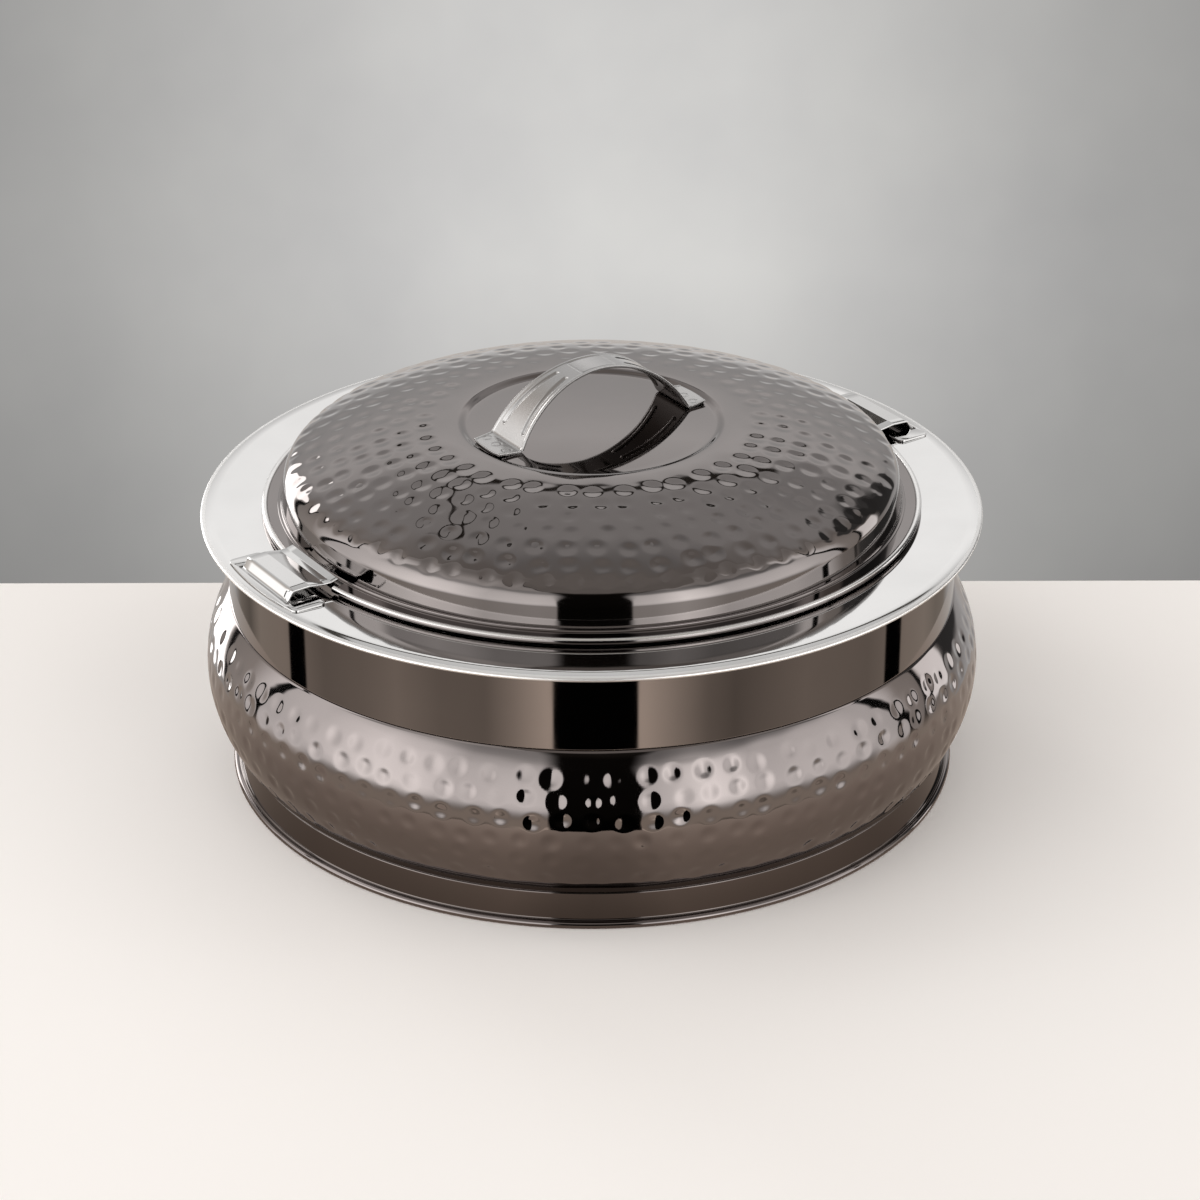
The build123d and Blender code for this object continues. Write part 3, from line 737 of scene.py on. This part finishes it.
def build_dome(material):
    """The lid's skin: sunk dish, hammered crown and shoulder, plain leaning wall and flange."""
    draw = random.Random(5)
    swell = DISH_MIDDLE - DISH_EDGE[1]
    ball = (DISH_EDGE[0] ** 2 + swell**2) / (2 * swell)
    reach = np.linspace(0.0, DISH_EDGE[0] - 0.4, 18)
    floor = [(r, DISH_MIDDLE - ball + math.sqrt(ball**2 - r * r)) for r in reach.tolist()]
    width, rise = CROWN[0] - DISH_EDGE[0], CROWN[1] - DISH_EDGE[1]
    climb = [i / 14 for i in range(1, 14)]
    side = [(DISH_EDGE[0] + width * t, DISH_EDGE[1] + rise * (3 * t * t - 2 * t**3)) for t in climb]
    crown = [(r, crown_height(r)) for r in np.linspace(CROWN[0], SHOULDER[0] - 0.6, 72).tolist()]
    turn = 90 - math.degrees(math.asin((SHOULDER[0] - CROWN[0]) / CROWN_SIZE))
    bend = SHOULDER_BEND
    steep = math.radians(turn)
    pivot = (SHOULDER[0] - bend * math.cos(steep), SHOULDER[1] - bend * math.sin(steep))
    lean = math.radians(WALL_LEAN)
    top = (pivot[0] + bend * math.cos(lean), pivot[1] + bend * math.sin(lean))
    low = (top[0] + (top[1] - WALL_LOW) * math.tan(lean), WALL_LOW)
    cove = (low[0] + WALL_COVE * math.cos(lean), low[1] + WALL_COVE * math.sin(lean))
    outline = join(
        floor, side, crown,
        arc(pivot, bend, turn, WALL_LEAN, 20),
        line(top, low, 1.0),
        arc(cove, cove[1] - FLANGE[1], 180 + WALL_LEAN, 270, 6)[1:],
        [FLANGE, (FLANGE[0], FLANGE[1] - SHEET), (low[0] - SHEET, FLANGE[1] - SHEET)],
        arc(pivot, bend - SHEET, WALL_LEAN, turn, 5),
        [(r, crown_height(r) - SHEET) for r in (115.0, 90.0, CROWN[0])],
        [(DISH_EDGE[0], DISH_EDGE[1] - SHEET), (0.0, DISH_MIDDLE - SHEET)],
    )
    item = spun("dome", outline, 768, material)

    def is_skin(points):
        radius, height = np.hypot(points[:, 0], points[:, 1]), points[:, 2]
        half_sheet = SHEET / 2
        on_shoulder = np.hypot(radius - pivot[0], height - pivot[1]) > bend - half_sheet
        on_crown = (radius < SHOULDER[0]) & (height > crown_height(radius) - half_sheet)
        return (radius > CROWN[0] + 1) & (height > SKIN_LOW) & (on_crown | on_shoulder)

    def smooth_share(points):
        radius = np.hypot(points[:, 0], points[:, 1])
        return np.clip((radius - CROWN[0] - 3) / 8, 0, 1) * np.clip((points[:, 2] - SKIN_LOW) / 8, 0, 1)

    # The radius of each ring of marks, in mm, measured on along the shoulder, and its count.
    marks = []
    rows = ((77.5, 38), (87.5, 43), (97.5, 48), (107.5, 52), (117.5, 56), (127.5, 60), (136.5, 63))
    for row, (middle, count) in enumerate(rows):
        def surface(away, middle=middle):
            radius = middle + away
            if radius <= SHOULDER[0]:
                return radius, crown_height(radius)
            angle = steep - (radius - SHOULDER[0]) / bend
            return pivot[0] + bend * math.cos(angle), pivot[1] + bend * math.sin(angle)
        phase = 0.5 * (row % 2) + draw.uniform(-0.2, 0.2)
        marks += ring_of_marks(draw, surface, count, phase, size=5.3, steepness=0.08, lightest=0.75)
    hammer(item, is_skin, marks, draw, smooth_share)
    return item


def build_rim(plate_material, bead_material):
    """The lid's flange edge and rolled bead, in two lengths that stop short of the clips."""
    radius, height, size = RIM_BEAD
    start = math.asin(RIM_GAP / radius)
    sweep = math.pi - 2 * start
    seat = radius - 0.9
    plate = [(FLANGE[0], FLANGE[1] - SHEET), (seat, FLANGE[1] - SHEET), (seat, FLANGE[1])]
    plate += line((seat, FLANGE[1]), FLANGE, 2.0)[1:]
    bead = arc((radius, height), size, 0, 345, 23)
    bm = bmesh.new()
    for outline in (plate, bead):
        verts = [bm.verts.new((r * MM, 0, z * MM)) for r, z in outline]
        edges = [bm.edges.new((verts[i - 1], verts[i])) for i in range(len(verts))]
        turn_about_axis(bm, verts, start)
        bmesh.ops.spin(bm, geom=verts + edges, cent=(0, 0, 0), axis=(0, 0, 1), angle=sweep, steps=180)
        bmesh.ops.holes_fill(bm, edges=[edge for edge in bm.edges if edge.is_boundary], sides=0)
    # Only the bead's top takes the bright steel, a painted highlight line; the rest is the lid's smoked
    # steel.
    for face in bm.faces:
        at = face.calc_center_median() / MM
        face.material_index = int(at.z > height + 0.6 * size and math.hypot(at.x, at.y) > radius - size)
    copy_turned(bm, bm.verts[:] + bm.edges[:] + bm.faces[:], math.pi)
    bmesh.ops.recalc_face_normals(bm, faces=bm.faces)
    item = finish_mesh("rolled_rim", bm, plate_material)
    item.data.materials.append(bead_material)
    item.data.set_sharp_from_angle(angle=math.radians(50))
    return item


# ---- Clips ----


def build_clip(name, turn, material):
    """A spot-welded plate with a tongue lanced from it, made at the -X side and then turned."""
    top_z = BRIM_TOP + 0.02 + SHEET
    path = [
        (-TONGUE_ROOT - 1.0, top_z), (-TONGUE_ROOT, top_z), (-TONGUE_ROOT + 2.4, TONGUE_TOP[0]),
        (-TONGUE_TIP - 13.9, TONGUE_TOP[1]), (-TONGUE_TIP - 6.7, TONGUE_HOLD),
        (-TONGUE_TIP - 3.2, TONGUE_HOLD), (-TONGUE_TIP, TONGUE_FLARE),
    ]
    runs = [path[:1]]
    for before, at, after in zip(path, path[1:], path[2:]):
        runs.append(corner(before, at, after, 1.15 if at[1] == top_z else 2.2))
    runs.append(path[-1:])
    spine = join(*runs)
    spine = join(*[
        line(p, q, 0.8, 0.1) if math.dist(p, q) > 1.0 else [p, q] for p, q in zip(spine, spine[1:])
    ])

    bm = bmesh.new()
    start = [bm.verts.new((x * MM, -TONGUE_HALF * MM, z * MM)) for x, z in spine]
    edges = [bm.edges.new(pair) for pair in zip(start, start[1:])]
    for _ in range(8):
        grown = bmesh.ops.extrude_edge_only(bm, edges=edges)["geom"]
        edges = only(grown, EDGE)
        bmesh.ops.translate(bm, vec=(0, TONGUE_HALF / 4 * MM, 0), verts=only(grown, VERT))
    bmesh.ops.recalc_face_normals(bm, faces=bm.faces)
    if sum(face.normal.z for face in bm.faces) < 0:
        bmesh.ops.reverse_faces(bm, faces=bm.faces)
    bmesh.ops.solidify(bm, geom=bm.faces[:], thickness=SHEET * MM)
    fold = math.radians(60)
    rim = [edge for edge in bm.edges if len(edge.link_faces) == 2 and edge.calc_face_angle() > fold]
    round_edges(bm, rim, 0.16, 2)

    # The plate's outline: (x, y, rounding) from the slot beside the tongue out to the round edge.
    side_x = math.sqrt(CLIP_OUT**2 - CLIP_HALF**2)
    turns = (0.13, 0.104, 0.078, 0.052, 0.026)
    swing = [(-CLIP_OUT * math.cos(a), CLIP_OUT * math.sin(a), 0.0) for a in turns]
    root = -TONGUE_ROOT - 0.8
    half = [
        (root, TONGUE_HALF - 0.6, 0.0), (root - 0.6, TONGUE_HALF - 0.6, 0.3),
        (root - 0.6, TONGUE_HALF + 1.8, 0.5), (root + 2.4, TONGUE_HALF + 1.8, 0.5),
        (root + 2.4, TONGUE_HALF + 0.4, 0.3), (-CLIP_IN, TONGUE_HALF + 0.4, 0.4),
        (-CLIP_IN, CLIP_HALF, 3.0), (-side_x, CLIP_HALF, 3.0), *swing,
    ]
    other = [(x, -y, size) for x, y, size in reversed(half)]
    outline = rounded([*half, (-CLIP_OUT, 0.0, 0.0), *other], 50.0)
    verts = [bm.verts.new((x * MM, y * MM, (top_z - SHEET) * MM)) for x, y in outline]
    plate = bm.faces.new(verts)
    raised = bmesh.ops.extrude_face_region(bm, geom=[plate])["geom"]
    bmesh.ops.translate(bm, vec=(0, 0, SHEET * MM), verts=only(raised, VERT))
    bmesh.ops.recalc_face_normals(bm, faces=bm.faces)
    round_edges(bm, only(raised, EDGE), 0.2, 3)
    turn_about_axis(bm, bm.verts, turn)
    item = finish_mesh(name, bm, material)
    item.data.set_sharp_from_angle(angle=math.radians(40))
    return item


# ---- Handle ----


def strap_path():
    """The line of the strap's outer face from foot to foot: (x, z) in mm."""
    tip, crease = (-STRAP_TIP, TAB_TOP), (-STRAP_BEND, TAB_TOP)
    foot = math.radians(STRAP_TURN)
    climb = (crease[0] + 4 * math.cos(foot), crease[1] + 4 * math.sin(foot))
    bend = corner(tip, crease, climb, 2.0, 10)
    skip = 1.23 / ARCH_SIZE  # the arch starts where the bend ends
    arch = arc((0.0, ARCH_MIDDLE), ARCH_SIZE, 90 + STRAP_TURN - math.degrees(skip), 90, 90)
    half = join(line(tip, bend[0], 1.0), bend, arch)
    return np.array(half + [(-x, z) for x, z in reversed(half[:-1])])


def strap_pressing(near, off_crown, y, width):
    """How deep the strap is pressed, in mm, by distance from its nearer end and from its crown."""
    sink = np.zeros(len(near))
    for way in (-1, 1):
        a = np.array([FLUTE_LOW[0], way * FLUTE_LOW[1]])
        run = np.array([FLUTE_HIGH[0], way * FLUTE_HIGH[1]]) - a
        share = np.clip(((near - a[0]) * run[0] + (y - a[1]) * run[1]) / (run @ run), 0, 1)
        off = np.hypot(near - a[0] - share * run[0], y - a[1] - share * run[1])
        sink += FLUTE_DEPTH * np.clip(1 - (off / FLUTE_REACH) ** 2, 0, 1) ** 1.8
    for weld_along, weld_across in WELDS:
        off = np.hypot(near - weld_along, y - weld_across)
        ring = np.exp(-(((off - WELD_RING) / 0.32) ** 2))
        pool = np.clip(1 - (off / WELD_POOL) ** 2, 0, 1)
        sink += 0.2 * ring + 0.06 * pool
    reach_s, reach_y = off_crown - PLATE_LONG, np.abs(y) - PLATE_WIDE
    outside = np.hypot(np.maximum(reach_s, 0), np.maximum(reach_y, 0))
    off = outside + np.minimum(np.maximum(reach_s, reach_y), 0)
    sink += 0.2 * np.exp(-(((off - PLATE_ROUND) / 0.3) ** 2))
    inward = width / 2 - np.abs(y)
    hem = np.clip((inward - HEM_WIDTH) / HEM_WIDTH, 0, 1)
    sink += HEM_DEPTH * hem * hem * (3 - 2 * hem)
    over = np.clip(EDGE_ROUND - np.minimum(inward, near), 0, EDGE_ROUND)
    sink += EDGE_ROUND - np.sqrt(EDGE_ROUND**2 - over**2)
    return sink


def build_handle(outer_material, inner_material):
    """The strap: a grid laid along its path, pressed with flutes, then thickened inwards."""
    path = strap_path()
    steps = np.hypot(*np.diff(path, axis=0).T)
    along = np.concatenate([[0.0], np.cumsum(steps)])
    total = along[-1]

    def on_path(distance):
        return np.interp(distance, along, path[:, 0]), np.interp(distance, along, path[:, 1])

    bm = bmesh.new()
    bmesh.ops.create_grid(bm, x_segments=400, y_segments=96, size=1.0)
    bmesh.ops.recalc_face_normals(bm, faces=bm.faces)
    mesh = bpy.data.meshes.new("handle_strap_sheet")
    bm.to_mesh(mesh)
    bm.free()
    grid = read_vertices(mesh, "co")
    s = (grid[:, 0] + 1) / 2 * total
    t = grid[:, 1] * (1.5 - 0.5 * grid[:, 1] ** 2)  # closer together near the edges
    near = np.minimum(s, total - s)
    places, widths = zip(*STRAP_WIDTHS)
    shape = np.polyfit(places, widths, 4)
    tab = TAB_END_WIDTH + (np.polyval(shape, TAB_LENGTH) - TAB_END_WIDTH) * near / TAB_LENGTH
    width = np.where(near < TAB_LENGTH, tab, np.polyval(shape, near))
    y = t * width / 2
    x, z = on_path(s)
    fine = 0.05
    (x_after, z_after), (x_before, z_before) = on_path(s + fine), on_path(s - fine)
    dx, dz = x_after - x_before, z_after - z_before
    long = np.hypot(dx, dz)
    up_x, up_z = -dz / long, dx / long
    bow = TAB_BOW * (1 - t**2) * np.clip(1 - near / TAB_LENGTH, 0, 1)
    x = x + np.where(s < total / 2, -bow, bow)
    sink = strap_pressing(near, np.abs(s - total / 2), y, width)
    write_points(mesh, np.column_stack([x - up_x * sink, y, z - up_z * sink]))

    bm = bmesh.new()
    bm.from_mesh(mesh)
    bpy.data.meshes.remove(mesh)
    bmesh.ops.recalc_face_normals(bm, faces=bm.faces)
    middle = Vector((0, 0, ARCH_MIDDLE * MM))
    if sum((face.normal @ (face.calc_center_median() - middle)) for face in list(bm.faces)[::97]) < 0:
        bmesh.ops.reverse_faces(bm, faces=bm.faces)
    bmesh.ops.solidify(bm, geom=bm.faces[:], thickness=STRAP_SHEET * MM)
    # The strap's back, under the tabs and inside the arch, takes the darker steel: painted shade.
    for face in bm.faces:
        at = face.calc_center_median() / MM
        in_arch = math.hypot(at.x, at.z - ARCH_MIDDLE) < ARCH_SIZE - STRAP_BACK
        face.material_index = int(at.z < TAB_TOP - STRAP_BACK if abs(at.x) > STRAP_BEND else in_arch)
    item = finish_mesh("strap", bm, outer_material)
    item.data.materials.append(inner_material)
    return item


# ---- Scene ----

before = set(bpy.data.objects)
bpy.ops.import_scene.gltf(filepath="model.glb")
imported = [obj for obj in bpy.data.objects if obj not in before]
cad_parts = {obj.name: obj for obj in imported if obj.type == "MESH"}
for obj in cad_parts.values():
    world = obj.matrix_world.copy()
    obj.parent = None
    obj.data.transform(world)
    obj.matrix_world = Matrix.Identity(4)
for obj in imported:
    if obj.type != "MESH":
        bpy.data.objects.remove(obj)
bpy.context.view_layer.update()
bpy.context.scene.view_settings.view_transform = "Standard"
build_world()
build_floor()
build_reflected_table()
build_camera()

smoked = polished("smoked_steel", (0.212, 0.189, 0.184), 0.03)
lid_smoked = polished("smoked_lid_steel", (0.196, 0.177, 0.172), 0.03)
# A darker copy of the smoked steel for the foot ring: painted shade.
shaded_foot_steel = polished("foot_painted_shade_steel", (0.135, 0.118, 0.112), 0.04)
bright = polished("bright_steel", (0.67, 0.665, 0.66), 0.035)
# Brighter satin steel on the brim's rolled nose: a painted highlight line.
nose_highlight = polished("nose_highlight_steel", (0.88, 0.87, 0.86), 0.36)
# Bright steel on the top of the lid's bead: a painted highlight line.
rim_bead_highlight = polished("rim_bead_highlight", (0.78, 0.77, 0.76), 0.2)
stamped = polished("stamped_steel", (0.6, 0.595, 0.59), 0.05)
strap_satin = polished("satin_strap_steel", (0.43, 0.422, 0.418), 0.19, 0.05)
# A darker copy of the strap's steel for its back: painted shade.
strap_back_shade = polished("strap_back_painted_shade", (0.2, 0.19, 0.185), 0.06)
satin = turned("turned_steel", (0.55, 0.54, 0.53), 0.28)
cream = foam("foam")

place_piece(build_foot(shaded_foot_steel, smoked), "pot", "mirror_steel", "base_ring")
place_piece(build_belly(smoked), "pot", "hammered_steel", "belly_shell")
place_piece(build_neck(smoked), "pot", "mirror_steel", "neck_band")
place_piece(build_brim(bright, nose_highlight), "pot", "mirror_steel", "brim")
place_piece(build_clip("clip_left", 0.0, stamped), "pot", "pressed_steel", "left_clip")
place_piece(build_clip("clip_right", math.pi, stamped), "pot", "pressed_steel", "right_clip")
place_piece(build_dome(lid_smoked), "lid", "hammered_steel", "lid_dome")
place_piece(build_rim(lid_smoked, rim_bead_highlight), "lid", "mirror_steel", "lid_rim")
place_piece(build_handle(strap_satin, strap_back_shade), "lid", "pressed_steel", "handle_strap")

finishes = {
    "inner_bowl": satin, "lid_pan": satin, "base_plate": satin, "body_insulation": cream,
    "lid_insulation": cream,
}
for name, material in finishes.items():
    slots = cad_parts[name].data.materials
    for place in range(len(slots)):
        slots[place] = material
